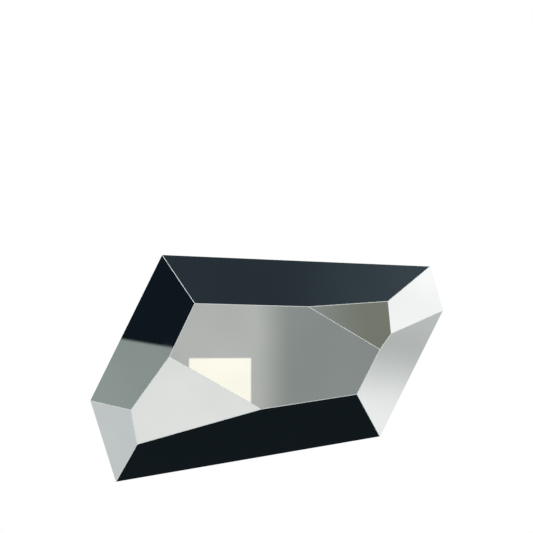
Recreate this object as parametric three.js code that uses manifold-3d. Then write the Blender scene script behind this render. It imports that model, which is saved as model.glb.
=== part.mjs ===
// A faceted wall mirror: nine mitred mirror panes on a timber carcass that hooks onto a wall cleat.
//
// The mirror is built lying face up on the bench and then hung on the wall. On the bench X runs
// to the right, Y up the wall and Z out of the wall, with Z = 0 at the wall. All sizes are in
// millimetres and all angles in degrees. Every pane, board, rail and rib is a convex solid, so
// each one is described by the flat sides that bound it.

import * as THREE from 'three';
import { ConvexGeometry } from 'three/addons/geometries/ConvexGeometry.js';
import { mergeVertices } from 'three/addons/utils/BufferGeometryUtils.js';
import Module from 'manifold-3d';

// ---- driving dimensions -------------------------------------------------------------------

// The outline's corners, clockwise from the top left, about the middle of the outline.
const OUTLINE = [[-444, 483], [695, 434], [750, 246], [482, -289], [-640, -482], [-749, -136]];
const RIM_HEIGHT = 40; // the outline's height off the wall

// The rim panes in the same order: each one rises inwards from its side of the outline.
const RIM = [
  { name: 'top', pitch: 27.1 },
  { name: 'upper_right', pitch: 20.1 },
  { name: 'lower_right', pitch: 29.3 },
  { name: 'bottom', pitch: 26.0 },
  { name: 'lower_left', pitch: 27.2 },
  { name: 'upper_left', pitch: 25.0 },
];

// The crown: a centre pane, and a pane at each end that folds down from it along a line.
const CROWN_HEIGHT = 140;
const CROWN_TILT = 0.45;
const CROWN_TILT_TOWARDS = 14; // counted from +X towards +Y
const CROWN_FOLD = 4.85;
const CROWN_ENDS = [
  { name: 'left_crown', fold: [[-409, 54], [-21, -167]] },
  { name: 'right_crown', fold: [[477, 85], [178, 264]] },
];

const TOUCH = 0.3; // the gap left between pieces that touch
const GLASS = 4;
const GLASS_SEAM = 0.4;
const ADHESIVE = 1;
const ADHESIVE_MARGIN = 8;
const BOARD = 9;
const BOARD_SEAM = 0.6;
const BOARD_SETBACK = 6;

const BACK = 12; // height of the carcass's back off the wall
const RAIL_SETBACK = 24;
const RAIL_WIDTH = 30;
const BATTEN = 18;
const HANGING_BATTEN = { middle: 190, width: 80 };
const LOWER_BATTEN = { middle: -205, width: 60 };
const RIB = 12;
const LONG_RIB_Y = -10;
const CROSS_RIBS = { left: -330, middle: 20, right: 370 };

// The two halves of the hanging cleat are lengths of one Z-shaped extrusion.
const CLEAT = {
  length: 700,
  x: -24, // its middle, below which the hung mirror balances
  y: 158, // its lower edge
  thick: 3,
  base: 24,
  depth: 9,
  reach: 38,
  screwMargin: 10,
};
const CLEAT_SCREWS_X = [-300, -100, 100, 300];
const WALL_HOLES_X = [-320, -160, 160, 320];

const SCREW = {
  shank: 2, // radii: of the shank, the head and the blunt point
  head: 4,
  point: 0.4,
  headDepth: 2.4,
  headRim: 0.2,
  tip: 4,
  drive: 1.4, // a hexagonal recess
  driveDepth: 1.3,
};
const HOLE_MOUTH = 4; // how far a hole's cutter stands out past the screw's head
const CLEAT_SCREW_LENGTH = 18;
const BATTEN_SCREW_LENGTH = 62;
// The sides of the outline, counted as in RIM, whose rails hold the battens' ends.
const RIGHT_SIDE = 2;
const LOWER_LEFT_SIDE = 4;
const UPPER_LEFT_SIDE = 5;
const BUMPER = { wallRadius: 9, backRadius: 11, edge: 1.2 };
const BUMPERS = [
  { name: 'bumper_top_left', side: 0, along: 0.05 },
  { name: 'bumper_top_right', side: 0, along: 0.95 },
  { name: 'bumper_bottom_right', side: 3, along: 0.06 },
  { name: 'bumper_bottom_left', side: 3, along: 0.94 },
];
const ROUND = 20; // sides on a small round piece

const wasm = await Module();
wasm.setup();

// ---- materials ----------------------------------------------------------------------------

const finish = (color, roughness, metalness) => () =>
  new THREE.MeshStandardMaterial({ color, roughness, metalness });
const silveredGlass = finish(0xdfe6e3, 0.03, 1);
const adhesiveSheet = finish(0xe9e7df, 0.7, 0);
const mdf = finish(0xa98a66, 0.8, 0);
const blackRail = finish(0x1b1b1c, 0.6, 0);
const plywood = finish(0xcfb083, 0.7, 0);
const extrudedAluminium = finish(0xb9bcbe, 0.4, 1);
const zincSteel = finish(0xc2c3bd, 0.35, 1);
const blackRubber = finish(0x202020, 0.85, 0);

// ---- flat sides and the solids between them -----------------------------------------------

const turn = THREE.MathUtils.degToRad;
const alongX = new THREE.Vector3(1, 0, 0);
const alongY = new THREE.Vector3(0, 1, 0);
const offWall = new THREE.Vector3(0, 0, 1);
const towardsWall = new THREE.Vector3(0, 0, -1);

// A side keeps the points p for which normal . p <= offset.
const side = (normal, offset) => ({ normal, offset });
const sunk = ({ normal, offset }, depth) => side(normal, offset - depth);
const flipped = ({ normal, offset }) => side(normal.clone().negate(), -offset);
const upTo = (axis, high) => side(axis, high);
const startingAt = (axis, low) => flipped(side(axis, low));
const between = (axis, low, high) => [upTo(axis, high), startingAt(axis, low)];

// Keeps the points that lie nearer to the first side than to the second, less half the gap.
function nearerTo(first, second, gap) {
  const normal = second.normal.clone().sub(first.normal);
  const length = normal.length();
  return side(normal.divideScalar(length), (second.offset - first.offset) / length - gap / 2);
}

function meetingPoint(a, b, c) {
  const bc = b.normal.clone().cross(c.normal);
  const det = a.normal.dot(bc);
  if (Math.abs(det) < 1e-6) return null;
  const ca = c.normal.clone().cross(a.normal);
  const ab = a.normal.clone().cross(b.normal);
  return bc
    .multiplyScalar(a.offset)
    .addScaledVector(ca, b.offset)
    .addScaledVector(ab, c.offset)
    .divideScalar(det);
}

// The convex solid that lies inside all the sides.
function solidInside(sides) {
  const corners = [];
  sides.forEach((a, i) => {
    sides.slice(i + 1).forEach((b, j) => {
      sides.slice(i + j + 2).forEach((c) => {
        const p = meetingPoint(a, b, c);
        if (!p || sides.some((s) => s.normal.dot(p) > s.offset + 1e-5)) return;
        if (!corners.some((q) => q.distanceTo(p) < 1e-3)) corners.push(p);
      });
    });
  });
  return new ConvexGeometry(corners);
}

// ---- cutting ------------------------------------------------------------------------------

function toManifold(geometry) {
  const bare = new THREE.BufferGeometry();
  bare.setAttribute('position', geometry.getAttribute('position'));
  bare.setIndex(geometry.index);
  const merged = mergeVertices(bare, 1e-4);
  const vertProperties = merged.getAttribute('position').array;
  const triVerts = Uint32Array.from(merged.index.array);
  return new wasm.Manifold(new wasm.Mesh({ numProp: 3, vertProperties, triVerts }));
}

function cut(geometry, cutters) {
  const solid = cutters.reduce((s, c) => s.subtract(toManifold(c)), toManifold(geometry));
  const mesh = solid.getMesh();
  const result = new THREE.BufferGeometry();
  result.setAttribute('position', new THREE.BufferAttribute(mesh.vertProperties, 3));
  result.setIndex(new THREE.BufferAttribute(mesh.triVerts, 1));
  result.computeVertexNormals();
  return result;
}

// ---- the faceted form ---------------------------------------------------------------------

const corner = (i) => new THREE.Vector3(...OUTLINE[i % OUTLINE.length], RIM_HEIGHT);

// The outline's sides, upright and facing outwards.
const outlineSides = OUTLINE.map((_, i) => {
  const along = corner(i + 1).sub(corner(i)).normalize();
  const outwards = new THREE.Vector3(-along.y, along.x, 0);
  return side(outwards, outwards.dot(corner(i)));
});

const rimFacets = RIM.map(({ name, pitch }, i) => {
  const normal = outlineSides[i].normal.clone().multiplyScalar(Math.sin(turn(pitch)));
  normal.z = Math.cos(turn(pitch));
  return { name, ...side(normal, normal.dot(corner(i))) };
});

const crownNormal = new THREE.Vector3(
  Math.sin(turn(CROWN_TILT)) * Math.cos(turn(CROWN_TILT_TOWARDS)),
  Math.sin(turn(CROWN_TILT)) * Math.sin(turn(CROWN_TILT_TOWARDS)),
  Math.cos(turn(CROWN_TILT)),
);
const centreFacet = { name: 'centre', ...side(crownNormal, crownNormal.z * CROWN_HEIGHT) };

// The point of the centre facet above a point of the plan.
function onCentreFacet([x, y]) {
  const { normal, offset } = centreFacet;
  return new THREE.Vector3(x, y, (offset - normal.x * x - normal.y * y) / normal.z);
}

const endFacets = CROWN_ENDS.map(({ name, fold }) => {
  const [from, to] = fold.map(onCentreFacet);
  const foldLine = to.clone().sub(from).normalize();
  const normal = crownNormal.clone().applyAxisAngle(foldLine, turn(CROWN_FOLD));
  return { name, ...side(normal, normal.dot(from)) };
});

const facets = [...rimFacets, centreFacet, ...endFacets];

// One sheet behind a facet, mitred to the sheets beside it and cut off near the outline.
function sheetBehind(facet, { top, thick, seam, setback }) {
  const mitres = facets.filter((f) => f !== facet).map((f) => nearerTo(facet, f, seam));
  const rim = outlineSides.map((s) => sunk(s, setback));
  return solidInside([sunk(facet, top), flipped(sunk(facet, top + thick)), ...mitres, ...rim]);
}

const adhesiveTop = GLASS + TOUCH;
const boardTop = adhesiveTop + ADHESIVE + TOUCH;
const carcassTop = boardTop + BOARD + TOUCH;
const underBoards = facets.map((f) => sunk(f, carcassTop));

// ---- the pieces ---------------------------------------------------------------------------

const bench = new THREE.Group();

function add(name, geometry, material) {
  const mesh = new THREE.Mesh(geometry, material());
  mesh.name = name;
  bench.add(mesh);
  return mesh;
}

function panes() {
  const glass = { top: 0, thick: GLASS, seam: GLASS_SEAM, setback: 0 };
  facets.forEach((f) => add(`mirror_${f.name}`, sheetBehind(f, glass), silveredGlass));
}

function adhesives() {
  const film = {
    top: adhesiveTop,
    thick: ADHESIVE,
    seam: 2 * ADHESIVE_MARGIN,
    setback: BOARD_SETBACK + ADHESIVE_MARGIN,
  };
  facets.forEach((f) => add(`adhesive_${f.name}`, sheetBehind(f, film), adhesiveSheet));
}

function boards() {
  const board = { top: boardTop, thick: BOARD, seam: BOARD_SEAM, setback: BOARD_SETBACK };
  facets.forEach((f) => add(`board_${f.name}`, sheetBehind(f, board), mdf));
}

// A countersunk wood screw along Y with its head's face at Y = 0, or the hole that it fits.
function screwProfile(length, clearance, headRise) {
  const shank = SCREW.shank + clearance;
  const head = SCREW.head + clearance;
  return [
    new THREE.Vector2(0, -length - clearance),
    new THREE.Vector2(SCREW.point + clearance, -length - clearance),
    new THREE.Vector2(shank, -length + SCREW.tip),
    new THREE.Vector2(shank, -SCREW.headDepth - clearance),
    new THREE.Vector2(head, 0),
    new THREE.Vector2(head, headRise),
    new THREE.Vector2(0, headRise),
  ];
}

function screwGeometry(length) {
  const body = new THREE.LatheGeometry(screwProfile(length, 0, SCREW.headRim), ROUND);
  const drive = new THREE.CylinderGeometry(SCREW.drive, SCREW.drive, 2 * SCREW.driveDepth, 6);
  return cut(body, [drive]);
}

// Where a screw's head faces and sits, as a transform from the screw's own frame.
function screwPlace(headTowards, at) {
  const spin = new THREE.Quaternion().setFromUnitVectors(alongY, headTowards);
  return new THREE.Matrix4().compose(at, spin, new THREE.Vector3(1, 1, 1));
}

function addScrew(name, length, place) {
  const screw = add(name, screwGeometry(length), zincSteel);
  place.decompose(screw.position, screw.quaternion, screw.scale);
}

const holeAt = (length) => (place) =>
  new THREE.LatheGeometry(screwProfile(length, TOUCH, HOLE_MOUTH), ROUND).applyMatrix4(place);

// The batten screws: each goes through the middle of a rail's side into a batten's end.
function battenScrewPlace(sideIndex, y) {
  const { normal, offset } = outlineSides[sideIndex];
  const x = (offset - RAIL_SETBACK - RAIL_WIDTH - normal.y * y) / normal.x;
  const inner = new THREE.Vector3(x, y, BACK + BATTEN / 2);
  return screwPlace(normal, inner.addScaledVector(normal, RAIL_WIDTH - TOUCH));
}
const battenScrewPair = (leftSide, { middle }) =>
  [leftSide, RIGHT_SIDE].map((sideIndex) => battenScrewPlace(sideIndex, middle));
const battenScrews = {
  hanging_batten: battenScrewPair(UPPER_LEFT_SIDE, HANGING_BATTEN),
  lower_batten: battenScrewPair(LOWER_LEFT_SIDE, LOWER_BATTEN),
};
const allBattenScrews = Object.values(battenScrews).flat();

function rails() {
  RIM.forEach(({ name }, i) => {
    const outer = sunk(outlineSides[i], RAIL_SETBACK);
    const others = outlineSides.filter((s) => s !== outlineSides[i]);
    const mitres = others.map((s) => nearerTo(outlineSides[i], s, TOUCH));
    const inner = flipped(sunk(outer, RAIL_WIDTH));
    const rail = solidInside([outer, inner, startingAt(offWall, BACK), ...mitres, ...underBoards]);
    const holes = allBattenScrews.map(holeAt(BATTEN_SCREW_LENGTH));
    add(`rail_${name}`, cut(rail, holes), blackRail);
  });
}

const insideRails = outlineSides.map((s) => sunk(s, RAIL_SETBACK + RAIL_WIDTH + TOUCH));
// The cleat's section, with U up the wall and V off it: a base strip, and a tongue above it.
const cleatSection = [
  [0, 0],
  [CLEAT.base, 0],
  [CLEAT.base, CLEAT.depth - CLEAT.thick],
  [CLEAT.reach, CLEAT.depth - CLEAT.thick],
  [CLEAT.reach, CLEAT.depth],
  [CLEAT.base - CLEAT.thick, CLEAT.depth],
  [CLEAT.base - CLEAT.thick, CLEAT.thick],
  [0, CLEAT.thick],
];
// The frame's half is the same section turned half round, hooked behind the wall half's tongue.
const frameCleatTop = CLEAT.y + CLEAT.base + TOUCH + CLEAT.reach;
const frameCleatBack = BACK - TOUCH;

const cleatScrewPlaces = CLEAT_SCREWS_X.map((x) => {
  const y = frameCleatTop - CLEAT.screwMargin;
  const z = frameCleatBack - CLEAT.thick;
  return screwPlace(towardsWall, new THREE.Vector3(CLEAT.x + x, y, z));
});

function battens() {
  const batten = (name, { middle, width }, holes) => {
    const sides = between(alongY, middle - width / 2, middle + width / 2);
    const stock = solidInside([...sides, ...between(offWall, BACK, BACK + BATTEN), ...insideRails]);
    add(name, cut(stock, holes), plywood);
  };
  const endHoles = (name) => battenScrews[name].map(holeAt(BATTEN_SCREW_LENGTH));
  const cleatHoles = cleatScrewPlaces.map(holeAt(CLEAT_SCREW_LENGTH));
  batten('hanging_batten', HANGING_BATTEN, [...endHoles('hanging_batten'), ...cleatHoles]);
  batten('lower_batten', LOWER_BATTEN, endHoles('lower_batten'));
}

function ribs() {
  const frontOfBattens = startingAt(offWall, BACK + BATTEN + TOUCH);
  const rib = (name, sides) =>
    add(name, solidInside([...sides, frontOfBattens, ...insideRails, ...underBoards]), plywood);
  const longRibTop = LONG_RIB_Y + RIB / 2;
  const longRibFoot = LONG_RIB_Y - RIB / 2;
  rib('long_rib', between(alongY, longRibFoot, longRibTop));
  Object.entries(CROSS_RIBS).forEach(([name, x]) => {
    const slab = between(alongX, x - RIB / 2, x + RIB / 2);
    rib(`${name}_upper_rib`, [...slab, startingAt(alongY, longRibTop + TOUCH)]);
    rib(`${name}_lower_rib`, [...slab, upTo(alongY, longRibFoot - TOUCH)]);
  });
}

// A length of the Z-shaped extrusion along X, from section points given as (U, V).
function cleatBar(section, screwPlaces, holeLength) {
  const shape = new THREE.Shape(section.map(([u, v]) => new THREE.Vector2(v, u)));
  const bar = new THREE.ExtrudeGeometry(shape, { depth: CLEAT.length, bevelEnabled: false });
  const lay = new THREE.Matrix4().makeBasis(offWall, alongY, alongX.clone().negate());
  bar.applyMatrix4(lay.setPosition(CLEAT.x + CLEAT.length / 2, 0, 0));
  return cut(bar, screwPlaces.map(holeAt(holeLength)));
}

function cleats() {
  const onWall = cleatSection.map(([u, v]) => [CLEAT.y + u, v]);
  const onFrame = cleatSection.map(([u, v]) => [frameCleatTop - u, frameCleatBack - v]);
  const wallHoles = WALL_HOLES_X.map((x) => {
    const at = new THREE.Vector3(CLEAT.x + x, CLEAT.y + CLEAT.screwMargin, CLEAT.thick);
    return screwPlace(offWall, at);
  });
  add('wall_cleat', cleatBar(onWall, wallHoles, CLEAT_SCREW_LENGTH), extrudedAluminium);
  add('frame_cleat', cleatBar(onFrame, cleatScrewPlaces, CLEAT_SCREW_LENGTH), extrudedAluminium);
}

function screws() {
  cleatScrewPlaces.forEach((p, i) => addScrew(`cleat_screw_${i + 1}`, CLEAT_SCREW_LENGTH, p));
  allBattenScrews.forEach((p, i) => addScrew(`batten_screw_${i + 1}`, BATTEN_SCREW_LENGTH, p));
}

// The rubber bumpers stand on the rails' backs and touch the wall.
function bumpers() {
  const height = BACK - TOUCH;
  const profile = [
    [0, 0],
    [BUMPER.wallRadius - BUMPER.edge, 0],
    [BUMPER.wallRadius, BUMPER.edge],
    [BUMPER.backRadius, height],
    [0, height],
  ].map(([radius, y]) => new THREE.Vector2(radius, y));
  BUMPERS.forEach(({ name, side: i, along }) => {
    const inwards = outlineSides[i].normal.clone().multiplyScalar(-RAIL_SETBACK - RAIL_WIDTH / 2);
    const bumper = add(name, new THREE.LatheGeometry(profile, ROUND), blackRubber);
    bumper.position.copy(corner(i).lerp(corner(i + 1), along).add(inwards).setZ(0));
    bumper.rotation.x = Math.PI / 2;
  });
}

panes();
adhesives();
boards();
rails();
battens();
ribs();
cleats();
screws();
bumpers();

// Hung on the wall, the mirror faces -Y, with its origin in the middle of the wall cleat's back.
bench.rotation.x = Math.PI / 2;
bench.position.set(-CLEAT.x, 0, -CLEAT.y - CLEAT.base / 2);
const mirror = new THREE.Group();
mirror.add(bench);
export default mirror;
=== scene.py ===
"""The look of a frameless, faceted wall mirror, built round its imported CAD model.

Metres in the row frame: +X right, +Y into the wall, +Z up. The mirror panes face -Y.
"""

import math

import bmesh
import bpy
import numpy as np
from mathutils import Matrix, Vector


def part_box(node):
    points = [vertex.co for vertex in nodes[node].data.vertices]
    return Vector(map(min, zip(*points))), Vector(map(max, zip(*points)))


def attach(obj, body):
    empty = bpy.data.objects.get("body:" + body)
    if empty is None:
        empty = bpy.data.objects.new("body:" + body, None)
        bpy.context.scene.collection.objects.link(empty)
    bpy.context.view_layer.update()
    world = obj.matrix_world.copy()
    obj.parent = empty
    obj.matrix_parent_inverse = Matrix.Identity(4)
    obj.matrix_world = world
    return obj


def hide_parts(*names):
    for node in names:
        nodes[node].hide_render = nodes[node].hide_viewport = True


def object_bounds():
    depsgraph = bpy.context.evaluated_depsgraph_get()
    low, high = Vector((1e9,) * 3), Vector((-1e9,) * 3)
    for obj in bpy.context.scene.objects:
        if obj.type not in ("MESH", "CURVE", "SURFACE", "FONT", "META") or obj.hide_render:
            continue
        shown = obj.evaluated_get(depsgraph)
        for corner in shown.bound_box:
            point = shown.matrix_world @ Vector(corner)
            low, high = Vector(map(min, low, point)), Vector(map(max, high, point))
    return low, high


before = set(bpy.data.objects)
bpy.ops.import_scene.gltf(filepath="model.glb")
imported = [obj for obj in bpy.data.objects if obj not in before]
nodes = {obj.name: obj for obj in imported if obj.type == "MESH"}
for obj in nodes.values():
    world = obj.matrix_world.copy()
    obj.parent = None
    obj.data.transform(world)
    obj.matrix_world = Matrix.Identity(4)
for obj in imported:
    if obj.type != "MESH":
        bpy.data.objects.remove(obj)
cad_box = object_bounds()

MM = 0.001
BODY = "mirror"

# ---------------------------------------------------------------- the camera

# The outline's middle, from the left and the top of the CAD box.
HALF_WIDTH, HALF_HEIGHT = 0.749, 0.483
MIDDLE = Vector((cad_box[0].x + HALF_WIDTH, 0, cad_box[1].z - HALF_HEIGHT))
# Where the outline's edge stands: 40 mm off the wall.
RIM_Y = -0.040
# The eye looks level and straight at the wall, from a little above the mirror's middle.
EYE_DISTANCE, EYE_RISE = 10.068, 0.4335
EYE = Vector((MIDDLE.x, RIM_Y - EYE_DISTANCE, MIDDLE.z + EYE_RISE))
LENS = 160


def make_camera():
    data = bpy.data.cameras.new("camera")
    data.lens = LENS
    data.sensor_width = 36
    data.clip_start, data.clip_end = 0.1, 100
    camera = bpy.data.objects.new("camera", data)
    camera.location = EYE
    camera.rotation_euler = (math.pi / 2, 0, 0)
    bpy.context.scene.collection.objects.link(camera)
    bpy.context.scene.camera = camera


# ---------------------------------------------------------------- shader building


def paint(code):
    """A linear colour from a six-digit sRGB code."""
    parts = [int(code[i : i + 2], 16) / 255 for i in (0, 2, 4)]
    linear = [c / 12.92 if c <= 0.04045 else ((c + 0.055) / 1.055) ** 2.4 for c in parts]
    return (*linear, 1)


class Shader:
    """A material's or a world's nodes, with one call for each kind of node that is used here."""

    def __init__(self, name, kind="Material"):
        makers = {"Material": bpy.data.materials, "World": bpy.data.worlds}
        self.owner = makers[kind].new(name)
        self.owner.use_nodes = True
        self.tree = self.owner.node_tree
        self.tree.nodes.clear()
        self.out = self.node("Output" + kind)

    def node(self, kind, inputs=None, **settings):
        made = self.tree.nodes.new("ShaderNode" + kind)
        for key, value in settings.items():
            setattr(made, key, value)
        for key, value in (inputs or {}).items():
            socket = made.inputs[key]
            if isinstance(value, bpy.types.NodeSocket):
                self.tree.links.new(value, socket)
            else:
                socket.default_value = value
        return made

    def surface(self, socket):
        self.tree.links.new(socket, self.out.inputs["Surface"])
        return self.owner

    def principled(self, **inputs):
        named = {key.replace("_", " ").title(): value for key, value in inputs.items()}
        named = {key.replace("Ior", "IOR"): value for key, value in named.items()}
        return self.surface(self.node("BsdfPrincipled", named).outputs["BSDF"])

    def place(self, stretch=(1, 1, 1)):
        """Where a point is in the row frame at rest, stretched along the axes."""
        where = self.node("TexCoord").outputs["Object"]
        return self.node("Mapping", {"Vector": where, "Scale": stretch}).outputs["Vector"]

    def split(self, vector):
        return self.node("SeparateXYZ", {"Vector": vector}).outputs

    def noise(self, where, scale, detail=3.0, roughness=0.55, distortion=0.0):
        inputs = {"Vector": where, "Scale": scale, "Detail": detail}
        inputs.update({"Roughness": roughness, "Distortion": distortion})
        return self.node("TexNoise", inputs).outputs["Fac"]

    def cells(self, where, scale):
        return self.node("TexVoronoi", {"Vector": where, "Scale": scale}).outputs["Distance"]

    def math(self, operation, a, b=0.0, c=0.0):
        return self.node("Math", {0: a, 1: b, 2: c}, operation=operation).outputs[0]

    def remap(self, value, low, high, to_low=0.0, to_high=1.0):
        """A smooth step between two values, held at both ends."""
        inputs = {"Value": value, "From Min": low, "From Max": high}
        inputs.update({"To Min": to_low, "To Max": to_high})
        made = self.node("MapRange", inputs, interpolation_type="SMOOTHSTEP", clamp=True)
        return made.outputs["Result"]

    def mix(self, amount, a, b, blend="MIX"):
        made = self.node("Mix", {0: amount, 6: a, 7: b}, data_type="RGBA", blend_type=blend)
        return made.outputs[2]

    def ramp(self, value, *stops):
        made = self.node("ValToRGB", {"Fac": value})
        band = made.color_ramp
        while len(band.elements) < len(stops):
            band.elements.new(0.5)
        for element, (at, colour) in zip(band.elements, stops):
            element.position, element.color = at, colour
        return made.outputs["Color"]

    def bump(self, height, distance):
        return self.node("Bump", {"Height": height, "Distance": distance}).outputs["Normal"]


# ---------------------------------------------------------------- what the mirror is made of

SILVER = (0.93, 0.95, 0.945, 1)


def silvering():
    s = Shader("silvered_glass")
    where = s.place()
    smudge = s.noise(where, 9, detail=5, roughness=0.6)
    dust = s.remap(s.noise(where, 900, detail=1), 0.74, 0.80)
    tint = s.mix(s.remap(smudge, 0.35, 0.7), SILVER, (0.915, 0.938, 0.932, 1))
    haze = s.math("MULTIPLY_ADD", s.remap(smudge, 0.45, 0.75), 0.012, 0.006)
    roughness = s.math("MULTIPLY_ADD", dust, 0.05, haze)
    waviness = s.bump(s.noise(where, 2.2, detail=1), 0.00002)
    return s.principled(base_color=tint, metallic=1.0, roughness=roughness, normal=waviness)


def edge_shade():
    """The narrow band inside the arris, where the silvering is seen through the ground edge, with
    painted shade: its silvering is tinted darker than the pane's to stand for that reflection.
    """
    s = Shader("silvered_glass_painted_shade_margin")
    cloud = s.noise(s.place(), 60, detail=4)
    # painted shade: these tones are darker than the pane's silvering
    tone = s.ramp(cloud, (0.3, paint("ccd5d4")), (0.7, paint("e0e7e6")))
    rough = s.remap(cloud, 0.3, 0.7, 0.03, 0.08)
    return s.principled(base_color=tone, metallic=1.0, roughness=rough)


def ground_arris():
    s = Shader("ground_glass_arris")
    where = s.place()
    grind = s.noise(where, 1400, detail=2)
    chip = s.remap(s.noise(where, 210, detail=3), 0.62, 0.72)
    tone = s.mix(grind, paint("e4ebe9"), paint("f9fcfb"))
    tone = s.mix(chip, tone, paint("c2d3cf"))
    rough = s.remap(grind, 0.3, 0.7, 0.18, 0.34)
    bumps = s.bump(grind, 0.00004)
    return s.principled(base_color=tone, roughness=rough, specular_ior_level=0.7, normal=bumps)


def glass_edge():
    s = Shader("polished_glass_edge")
    where = s.place()
    streak = s.noise(s.place((60, 60, 900)), 1.0, detail=3)
    depth = s.noise(where, 35, detail=2)
    tone = s.mix(streak, paint("3f7c72"), paint("86b8ad"))
    tone = s.mix(s.remap(depth, 0.4, 0.7, 0, 0.5), tone, paint("24564f"))
    rough = s.remap(streak, 0.3, 0.7, 0.10, 0.22)
    return s.principled(base_color=tone, roughness=rough, specular_ior_level=0.8)


def backing_paint():
    s = Shader("mirror_backing_paint")
    cloud = s.noise(s.place(), 45, detail=5, roughness=0.65)
    tone = s.mix(cloud, paint("5d6466"), paint("767c7c"))
    bumps = s.bump(s.noise(s.place(), 700, detail=2), 0.00003)
    rough = s.remap(cloud, 0.3, 0.7, 0.45, 0.62)
    return s.principled(base_color=tone, roughness=rough, normal=bumps)


def fibreboard():
    s = Shader("fibreboard")
    where = s.place()
    fibre = s.noise(where, 520, detail=5, roughness=0.7, distortion=0.4)
    flecks = s.remap(s.noise(where, 620, detail=2), 0.60, 0.70)
    cloud = s.noise(where, 11, detail=3)
    tone = s.ramp(fibre, (0.30, paint("9b7851")), (0.52, paint("a9875f")), (0.72, paint("b8966c")))
    tone = s.mix(s.math("MULTIPLY", flecks, 0.4), tone, paint("7a5a3a"))
    tone = s.mix(s.remap(cloud, 0.3, 0.7, 0, 0.25), tone, paint("b8976d"))
    bumps = s.bump(fibre, 0.00012)
    rough = s.remap(fibre, 0.3, 0.7, 0.72, 0.9)
    return s.principled(base_color=tone, roughness=rough, normal=bumps)


def black_lacquer():
    s = Shader("black_rail_lacquer")
    where = s.place()
    peel = s.noise(where, 340, detail=2)
    scuff = s.remap(s.noise(s.place((14, 14, 90)), 3.0, detail=6, roughness=0.7), 0.62, 0.74)
    tone = s.mix(s.noise(where, 30, detail=4), paint("141415"), paint("222324"))
    tone = s.mix(s.math("MULTIPLY", scuff, 0.5), tone, paint("4a4846"))
    rough = s.math("ADD", s.remap(peel, 0.3, 0.7, 0.36, 0.5), s.math("MULTIPLY", scuff, 0.2))
    bumps = s.bump(peel, 0.00005)
    return s.principled(base_color=tone, roughness=rough, normal=bumps)


PLIES_PER_METRE = 1 / 0.0014


def birch_ply(name, axis, start):
    """Birch plywood whose sheet lies across `axis` (0 for X, 1 for Y, 2 for Z)."""
    s = Shader("birch_ply_" + name)
    where = s.place()
    depth = s.math("SUBTRACT", s.split(where)[axis], start)
    ply = s.math("MULTIPLY", depth, PLIES_PER_METRE)
    wobble = s.math("MULTIPLY_ADD", s.noise(where, 40, detail=3), 0.5, ply)
    light_or_dark = s.math("PINGPONG", wobble, 1.0)
    layer = s.remap(light_or_dark, 0.35, 0.65)
    end_fibre = s.noise(where, 900, detail=3, roughness=0.7)
    pale = s.mix(end_fibre, paint("c9a878"), paint("e2c79b"))
    dark = s.mix(end_fibre, paint("8a6239"), paint("b18a5b"))
    edge = s.mix(layer, dark, pale)
    glue = s.remap(s.math("ABSOLUTE", s.math("SUBTRACT", light_or_dark, 0.5)), 0.04, 0.10, 0.45, 0)
    edge = s.mix(glue, edge, paint("5b3a1f"))
    stretch = {0: (8, 2.2, 60), 1: (2.2, 8, 60), 2: (2.2, 60, 8)}[axis]
    figure = s.noise(s.place(stretch), 1.6, detail=5, roughness=0.6, distortion=1.3)
    pores = s.noise(s.place(tuple(9 * v for v in stretch)), 2.4, detail=3, roughness=0.7)
    face = s.ramp(figure, (0.28, paint("c4a071")), (0.5, paint("d8b989")), (0.75, paint("e6cda2")))
    face = s.mix(s.remap(pores, 0.5, 0.75, 0, 0.35), face, paint("a57c4c"))
    out = s.split(s.node("TexCoord").outputs["Normal"])[axis]
    on_face = s.remap(s.math("ABSOLUTE", out), 0.55, 0.75)
    tone = s.mix(on_face, edge, face)
    bumps = s.bump(s.mix(on_face, light_or_dark, pores), 0.00010)
    rough = s.remap(figure, 0.3, 0.7, 0.55, 0.7)
    return s.principled(base_color=tone, roughness=rough, normal=bumps)


def extruded_aluminium():
    s = Shader("anodised_aluminium_extrusion")
    die_lines = s.noise(s.place((1.5, 420, 420)), 1.4, detail=4, roughness=0.65)
    cloud = s.noise(s.place(), 18, detail=4)
    tone = s.mix(die_lines, paint("b4b8bb"), paint("d6d9da"))
    tone = s.mix(s.remap(cloud, 0.45, 0.75, 0, 0.4), tone, paint("a7abad"))
    rough = s.math("MULTIPLY_ADD", die_lines, 0.22, 0.24)
    bumps = s.bump(die_lines, 0.00003)
    return s.principled(base_color=tone, metallic=1.0, roughness=rough, normal=bumps)


def bonding_film():
    s = Shader("adhesive_film")
    where = s.place()
    foam = s.cells(where, 900)
    tone = s.mix(foam, paint("d8d5ca"), paint("efece2"))
    tone = s.mix(s.remap(s.noise(where, 25, detail=3), 0.5, 0.8, 0, 0.3), tone, paint("cfc8b4"))
    bumps = s.bump(foam, 0.00006)
    return s.principled(base_color=tone, roughness=0.7, normal=bumps)


def zinc_plate():
    s = Shader("zinc_plated_steel")
    where = s.place()
    film = s.noise(where, 160, detail=3)
    tone = s.ramp(film, (0.3, paint("c9c6b4")), (0.5, paint("c3c7cb")), (0.72, paint("c6b98c")))
    grain = s.noise(where, 1500, detail=2)
    rough = s.remap(grain, 0.3, 0.7, 0.22, 0.40)
    return s.principled(base_color=tone, metallic=1.0, roughness=rough, normal=s.bump(grain, 0.00002))


def moulded_rubber():
    s = Shader("black_rubber")
    where = s.place()
    grain = s.noise(where, 1100, detail=3, roughness=0.7)
    bloom = s.remap(s.noise(where, 70, detail=4), 0.45, 0.75, 0, 0.5)
    tone = s.mix(bloom, paint("161616"), paint("2f2f2e"))
    rough = s.remap(grain, 0.3, 0.7, 0.62, 0.85)
    return s.principled(base_color=tone, roughness=rough, normal=s.bump(grain, 0.00006))


# ---------------------------------------------------------------- pieces


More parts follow.
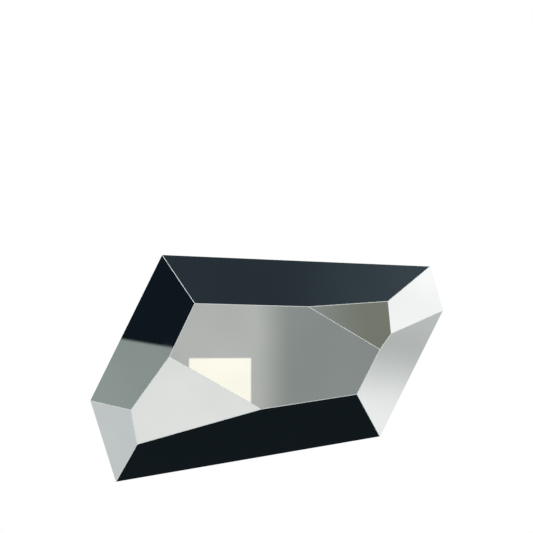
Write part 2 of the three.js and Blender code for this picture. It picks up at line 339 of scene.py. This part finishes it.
def add_piece(name, mesh, materials, body=BODY):
    piece = bpy.data.objects.new(name, mesh)
    for material in materials:
        mesh.materials.append(material)
    bpy.context.scene.collection.objects.link(piece)
    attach(piece, body)
    return piece


def solid_faces(node):
    """The CAD node's solid, with each flat side as one face."""
    bm = bmesh.new()
    bm.from_mesh(nodes[node].data)
    bmesh.ops.remove_doubles(bm, verts=bm.verts, dist=1e-5)
    bmesh.ops.dissolve_limit(bm, angle_limit=0.01, verts=bm.verts, edges=bm.edges)
    bmesh.ops.recalc_face_normals(bm, faces=bm.faces)
    bm.normal_update()
    return bm


class Pane:
    """A pane's front polygon, the way it faces, and the corners behind it."""

    def __init__(self, name):
        bm = solid_faces("mirror_" + name)
        facing = [f for f in bm.faces if f.normal.y < -0.5]
        front = max(facing, key=lambda f: f.calc_area())
        self.name = name
        self.normal = front.normal.copy()
        self.front = [v.co.copy() for v in front.verts]
        self.back = [self.corner_behind(v, front) for v in front.verts]
        bm.free()

    def corner_behind(self, vert, front):
        edges = [e for e in vert.link_edges if e not in front.edges]
        ends = [e.other_vert(vert).co for e in edges]
        return min(ends, key=lambda p: (p - vert.co).normalized().dot(self.normal)).copy()

    def is_outline(self, i):
        """Whether side i lies on the mirror's outline, not on a seam."""
        ends = self.front[i], self.front[(i + 1) % len(self.front)]
        return all(p.y > RIM_Y - RIM_BAND for p in ends)

    def inset(self, distances):
        """The front polygon with side i moved inwards by distances[i]."""
        count = len(self.front)
        inwards = []
        for i in range(count):
            run = (self.front[(i + 1) % count] - self.front[i]).normalized()
            inwards.append(self.normal.cross(run))
        corners = []
        for i in range(count):
            u, v = inwards[i - 1], inwards[i]
            du, dv = distances[i - 1], distances[i]
            c = u.dot(v)
            across_u = (du - c * dv) / (1 - c * c)
            across_v = (dv - c * du) / (1 - c * c)
            corners.append(self.front[i] + u * across_u + v * across_v)
        return corners

    def sunk(self, depth):
        """The front polygon's corners moved back along the pane's edges."""
        moved = []
        for p, q in zip(self.front, self.back):
            slope = (q - p).normalized()
            moved.append(p + slope * depth / -slope.dot(self.normal))
        return moved


# Both ends of a side on the outline stand within this of the outline's edge.
RIM_BAND = 20 * MM
SEAM_ARRIS = 0.9 * MM
OUTLINE_ARRIS = 0.5 * MM
ARRIS_DROP = 0.8 * MM
# The width of the band of painted shade inside the arris.
MARGIN = 0.4 * MM
# The back arris starts this far up the glass edge, and cuts this far into the back.
BACK_ARRIS_RISE, BACK_ARRIS_CUT = 0.12, 0.5 * MM
CROWN = ("centre", "left_crown", "right_crown")


def build_pane(pane, materials):
    sides = range(len(pane.front))
    arris = [OUTLINE_ARRIS if pane.is_outline(i) else SEAM_ARRIS for i in sides]
    margin = [a + MARGIN for a in arris]
    back_arris = [q.lerp(p, BACK_ARRIS_RISE) for p, q in zip(pane.front, pane.back)]
    centre_back = sum(pane.back, Vector()) / len(pane.back)
    back_face = [q + (centre_back - q).normalized() * BACK_ARRIS_CUT for q in pane.back]
    loops = [pane.inset(margin), pane.inset(arris), pane.sunk(ARRIS_DROP), back_arris, back_face]
    silvered, shaded, ground, polished, painted = range(5)
    # the shaded band is the painted shade just inside the arris
    bands = [shaded, ground, polished, ground]
    count = len(pane.front)
    verts = [p for loop in loops for p in loop]
    faces = [tuple(range(count))]
    slots = [silvered]
    for level, kind in enumerate(bands):
        for i in range(count):
            j = (i + 1) % count
            a, b = level * count, (level + 1) * count
            faces.append((a + i, b + i, b + j, a + j))
            slots.append(kind)
    last = (len(loops) - 1) * count
    faces.append(tuple(last + i for i in reversed(range(count))))
    slots.append(painted)
    mesh = bpy.data.meshes.new("pane_" + pane.name)
    mesh.from_pydata(verts, [], faces)
    mesh.polygons.foreach_set("material_index", slots)
    mesh.update()
    piece = add_piece("pane_" + pane.name, mesh, materials)
    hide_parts("mirror_" + pane.name)


def polar_mesh(name, rings, segments, place):
    """A closed surface from rings, each a function of angle, with a flat face at each end."""
    verts, faces = [], []
    for ring in rings:
        for k in range(segments):
            verts.append(place(*ring(2 * math.pi * k / segments)))
    for r in range(len(rings) - 1):
        for k in range(segments):
            n = (k + 1) % segments
            a, b = r * segments, (r + 1) * segments
            faces.append((a + k, a + n, b + n, b + k))
    faces.append(tuple(reversed(range(segments))))
    last = (len(rings) - 1) * segments
    faces.append(tuple(range(last, last + segments)))
    mesh = bpy.data.meshes.new(name)
    mesh.from_pydata(verts, [], faces)
    mesh.update()
    return mesh


def axis_of(node):
    """A turned node's middle, its axis towards its wider end, and its length."""
    points = np.array([v.co for v in nodes[node].data.vertices])
    points = np.unique(points.round(6), axis=0)
    mean = points.mean(0)
    axis = np.linalg.svd(points - mean)[2][0]
    along = (points - mean) @ axis
    centre = mean + axis * (along.min() + along.max()) / 2
    along = (points - centre) @ axis
    radius = np.linalg.norm(points - centre - np.outer(along, axis), axis=1)
    if along[radius.argmax()] < 0:
        axis, along = -axis, -along
    return Vector(centre), Vector(axis), float(along.max() - along.min())


THREAD_PITCH = 1.9 * MM
SHANK, CORE, HEAD = 1.95 * MM, 1.35 * MM, 3.95 * MM
HEAD_DEPTH, HEAD_RIM, TIP = 2.5 * MM, 0.25 * MM, 6 * MM
HEAD_EDGE, NECK = 0.12 * MM, 0.4 * MM
DRIVE, DRIVE_DEPTH, DRIVE_EDGE, DRIVE_FLARE = 1.5 * MM, 1.3 * MM, 0.1 * MM, 1.06
# The thread grows to its full height over this length, and the point isn't quite sharp.
THREAD_START, BLUNT = 3 * MM, 0.12
CREST_SHARPNESS = 3.4


def build_screw(node, material):
    centre, axis, length = axis_of(node)
    side = axis.orthogonal().normalized()
    other = axis.cross(side)
    top = centre + axis * length / 2

    def place(x, y, z):
        return top + side * x + other * y + axis * z

    def round_ring(radius, z):
        return lambda t: (radius * math.cos(t), radius * math.sin(t), z)

    def drive_ring(z):
        """A six-lobed recess."""
        def ring(t):
            r = DRIVE * (0.86 + 0.14 * math.cos(6 * t))
            return r * math.cos(t), r * math.sin(t), z
        return ring

    def thread_ring(z):
        depth = -z - HEAD_DEPTH
        fade = min(1, depth / THREAD_START) if depth > 0 else 0
        taper = min(1, (z + length) / TIP)

        def ring(t):
            turn = (z / THREAD_PITCH + t / (2 * math.pi)) % 1
            crest = max(0, 1 - abs(turn - 0.5) * CREST_SHARPNESS)
            r = (CORE + (SHANK - CORE) * (1 - fade + fade * crest)) * max(taper, BLUNT)
            return r * math.cos(t), r * math.sin(t), z
        return ring

    rings = [drive_ring(-DRIVE_DEPTH), drive_ring(-DRIVE_EDGE)]
    rings += [lambda t: tuple(v * DRIVE_FLARE for v in drive_ring(0)(t)[:2]) + (0,)]
    rings += [round_ring(HEAD - HEAD_EDGE, 0), round_ring(HEAD, -HEAD_EDGE)]
    rings += [round_ring(HEAD, -HEAD_RIM), round_ring(SHANK + NECK, -HEAD_DEPTH + 0.3 * MM)]
    step = THREAD_PITCH / 6
    count = int((length - HEAD_DEPTH) / step)
    rings += [thread_ring(-HEAD_DEPTH - i * step) for i in range(count)]
    rings += [thread_ring(-length)]
    mesh = polar_mesh("visual_" + node, rings[::-1], 24, place)
    mesh.shade_smooth()
    piece = add_piece("visual_" + node, mesh, [material])
    split_sharp(piece, 32)
    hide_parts(node)


def split_sharp(piece, angle):
    """Keeps edges sharper than `angle` degrees crisp in smooth shading."""
    bm = bmesh.new()
    bm.from_mesh(piece.data)
    bmesh.ops.recalc_face_normals(bm, faces=bm.faces)
    for edge in bm.edges:
        edge.smooth = len(edge.link_faces) == 2 and edge.calc_face_angle(0) < math.radians(angle)
    bm.to_mesh(piece.data)
    bm.free()


# A bumper's outline from its wall face to its back, as (radius, height) in mm.
BUMPER_RINGS = [
    (2.4, 5.2), (2.6, 4.9), (2.7, 1.1), (3.1, 0.6), (3.9, 0.35), (4.2, 0.7), (4.9, 0.7), (5.2, 0.35),
    (6.4, 0.05), (7.6, 0.0), (8.3, 0.22), (8.75, 0.7), (9.0, 1.4), (9.5, 5.0), (10.2, 9.6),
    (10.75, 10.2), (10.95, 10.7), (10.95, 11.3), (10.7, 11.6),
]


def build_bumper(node, material):
    low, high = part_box(node)
    middle_x, middle_z = (low.x + high.x) / 2, (low.z + high.z) / 2

    def place(x, y, z):
        return Vector((middle_x + x, high.y - z, middle_z + y))

    def ring_at(radius, height):
        return lambda t: (radius * MM * math.cos(t), radius * MM * math.sin(t), height * MM)

    mesh = polar_mesh("visual_" + node, [ring_at(*r) for r in BUMPER_RINGS], 48, place)
    mesh.shade_smooth()
    piece = add_piece("visual_" + node, mesh, [material])
    split_sharp(piece, 40)
    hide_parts(node)


def dress(node, material, soften=0.0):
    """Keeps a CAD node, with a material and a small round on its edges."""
    shown = nodes[node]
    shown.data.materials.clear()
    shown.data.materials.append(material)
    if soften:
        weld = shown.modifiers.new("weld", "WELD")
        weld.merge_threshold = 1e-5
        bevel = shown.modifiers.new("soft_edges", "BEVEL")
        bevel.width = soften
        bevel.segments = 2
        bevel.limit_method = "ANGLE"
        bevel.angle_limit = math.radians(30)
        bevel.harden_normals = False


# ---------------------------------------------------------------- the studio

FLOOR_Z = -1.55
FLOOR_RADIUS = 5
# The floor is solid out to the first distance from its middle, and gone at the second.
FLOOR_FADE = (1.4, 3.4)

# What the panes reflect: a plain studio of soft panels, each laid over the ones before it.
# Azimuth 0 is straight in front of the mirror and grows towards +X, and elevation grows
# upwards, both in degrees. Each panel has its tone, its span both ways, and how soft its edge is.
PANELS = [
    # behind the mirror: bright on one side, and grey low down
    ("eef0f0", (115, 165), (0, 60), 30),
    ("868b8c", (-180, 180), (-90, -30), 25),
    # walls: grey on the left, pale ahead and darker towards the right, then bright
    ("8b9592", (-110, -20), (-12, 90), 14),
    ("b3b6b3", (-20, 35), (-8, 35), 4),
    ("8a908d", (1, 35), (-8, 35), 1),
    ("74786d", (7.5, 35), (-8, 35), 2),
    ("fbfdfd", (34, 110), (-20, 40), 10),
    # the floor: pale, with a black cloth on it close to the mirror
    ("c3c8c8", (-70, -20), (-26, -10), 6),
    ("dde1e1", (-130, -20), (-90, -27), 8),
    ("e4e6e4", (-20, 30), (-45, -8), 3),
    ("f2f5f4", (45, 110), (-90, -24.5), 2),
    ("cdd2d0", (30, 52), (-32, -13), 5),
    ("dfe3e2", (68, 130), (-90, -32), 8),
    ("12191c", (-30, 40), (-80, -45), 8),
    # the dark ceiling, which comes lower on both sides
    ("283238", (-110, 110), (33, 90), 8),
    ("3a454b", (7, 110), (40, 90), 7),
    ("10181f", (-110, -35), (17.5, 40), 0.1),
    ("1d272d", (30, 110), (17.5, 40), 1),
    # the light: a square soft box ahead
    ("fffdee", (-1, 0.5), (-3.5, -2), 0.03),
]
BEHIND = "b9bdbb"


def tinted(code):
    """A colour that looks as given once the silvering has reflected it."""
    return (*(c / s for c, s in zip(paint(code)[:3], SILVER)), 1)


def make_floor():
    s = Shader("studio_floor")
    where = s.node("TexCoord").outputs["Object"]
    distance = s.node("VectorMath", {0: where}, operation="LENGTH").outputs["Value"]
    cloud = s.noise(where, 1.5, detail=4)
    tone = s.mix(s.remap(cloud, 0.3, 0.7), (0.76, 0.76, 0.755, 1), (0.78, 0.78, 0.775, 1))
    inputs = {"Base Color": tone, "Roughness": 0.6}
    solid = s.node("BsdfPrincipled", inputs).outputs["BSDF"]
    clear = s.node("BsdfTransparent").outputs[0]
    fade = s.remap(distance, *FLOOR_FADE)
    s.surface(s.node("MixShader", {0: fade, 1: solid, 2: clear}).outputs[0])
    mesh = bpy.data.meshes.new("floor")
    angles = [a * math.pi / 32 for a in range(64)]
    rim = [(FLOOR_RADIUS * math.cos(a), FLOOR_RADIUS * math.sin(a), 0) for a in angles]
    mesh.from_pydata(rim, [], [tuple(range(len(rim)))])
    floor = bpy.data.objects.new("floor", mesh)
    floor.location = (MIDDLE.x, 0, FLOOR_Z)
    floor.visible_glossy = False
    mesh.materials.append(s.owner)
    bpy.context.scene.collection.objects.link(floor)


def make_world():
    """White for the camera, soft grey light on everything, and the panels in reflections."""
    s = Shader("studio", "World")
    direction = s.node("TexCoord").outputs["Generated"]
    x, y, z = s.split(direction)[:3]
    azimuth = s.math("DEGREES", s.math("ARCTAN2", x, s.math("MULTIPLY", y, -1.0)))
    elevation = s.math("DEGREES", s.math("ARCSINE", z))

    def within(value, span, edge):
        low, high = span
        above = s.remap(value, low - edge / 2, low + edge / 2)
        below = s.remap(value, high + edge / 2, high - edge / 2)
        return s.math("MULTIPLY", above, below)

    mirrored = tinted(BEHIND)
    for tone, azimuths, elevations, edge in PANELS:
        across, upwards = within(azimuth, azimuths, edge), within(elevation, elevations, edge)
        inside = s.math("MULTIPLY", across, upwards)
        mirrored = s.mix(inside, mirrored, tinted(tone))
    uneven = s.remap(s.noise(direction, 18, detail=2), 0.3, 0.7)
    mirrored = s.mix(uneven, mirrored, (0.9, 0.9, 0.9, 1), blend="MULTIPLY")
    lit = s.mix(s.remap(z, -0.6, 0.9), (0.62, 0.62, 0.62, 1), (0.79, 0.80, 0.81, 1))
    path = s.node("LightPath").outputs
    look = s.mix(path["Is Glossy Ray"], lit, mirrored)
    look = s.mix(path["Is Camera Ray"], look, (1, 1, 1, 1))
    s.surface(s.node("Background", {"Color": look, "Strength": 1.0}).outputs[0])
    bpy.context.scene.world = s.owner


# Each soft box has its place, its width and height, both in metres, and its power in watts.
AIM = Vector((0, 0, -0.2))
SOFT_BOXES = {
    "key": ((-2.6, -3.6, 2.6), (2.4, 1.6), 90),
    "fill": ((3.2, -2.6, 1.0), (1.6, 2.2), 40),
    "back": ((1.8, 3.4, 2.2), (2.4, 1.6), 80),
    "back_fill": ((-2.6, 2.8, 0.6), (1.6, 2.0), 45),
}


def soft_box(name, location, size, power):
    data = bpy.data.lights.new(name, "AREA")
    data.shape = "RECTANGLE"
    data.size, data.size_y = size
    data.energy = power
    light = bpy.data.objects.new(name, data)
    light.location = location
    light.rotation_euler = (AIM - light.location).to_track_quat("-Z", "Y").to_euler()
    light.visible_glossy = False
    bpy.context.scene.collection.objects.link(light)


# ---------------------------------------------------------------- everything together

make_camera()
bpy.context.scene.view_settings.view_transform = "Standard"
bpy.context.scene.view_settings.look = "None"

RIM = ("top", "upper_right", "lower_right", "bottom", "lower_left", "upper_left")

glass = [silvering(), edge_shade(), ground_arris(), glass_edge(), backing_paint()]
film, board = bonding_film(), fibreboard()
for name in RIM + CROWN:
    build_pane(Pane(name), glass)
    dress("adhesive_" + name, film)
    dress("board_" + name, board, 0.4 * MM)

lacquer = black_lacquer()
for name in RIM:
    dress("rail_" + name, lacquer, 0.8 * MM)

X, Y, Z = 0, 1, 2
PLYWOOD = {"long_rib": Z, "hanging_batten": Y, "lower_batten": Y}
for place in ("left", "middle", "right"):
    for level in ("upper", "lower"):
        PLYWOOD[f"{place}_{level}_rib"] = X
for name, axis in PLYWOOD.items():
    dress(name, birch_ply(name, axis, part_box(name)[0][axis]), 0.5 * MM)

aluminium = extruded_aluminium()
for name in ("wall_cleat", "frame_cleat"):
    dress(name, aluminium, 0.3 * MM)

zinc, rubber = zinc_plate(), moulded_rubber()
for number in range(1, 5):
    build_screw(f"cleat_screw_{number}", zinc)
    build_screw(f"batten_screw_{number}", zinc)
for corner in ("top_left", "top_right", "bottom_right", "bottom_left"):
    build_bumper("bumper_" + corner, rubber)

make_floor()
make_world()
for name, (location, size, power) in SOFT_BOXES.items():
    soft_box(name, location, size, power)
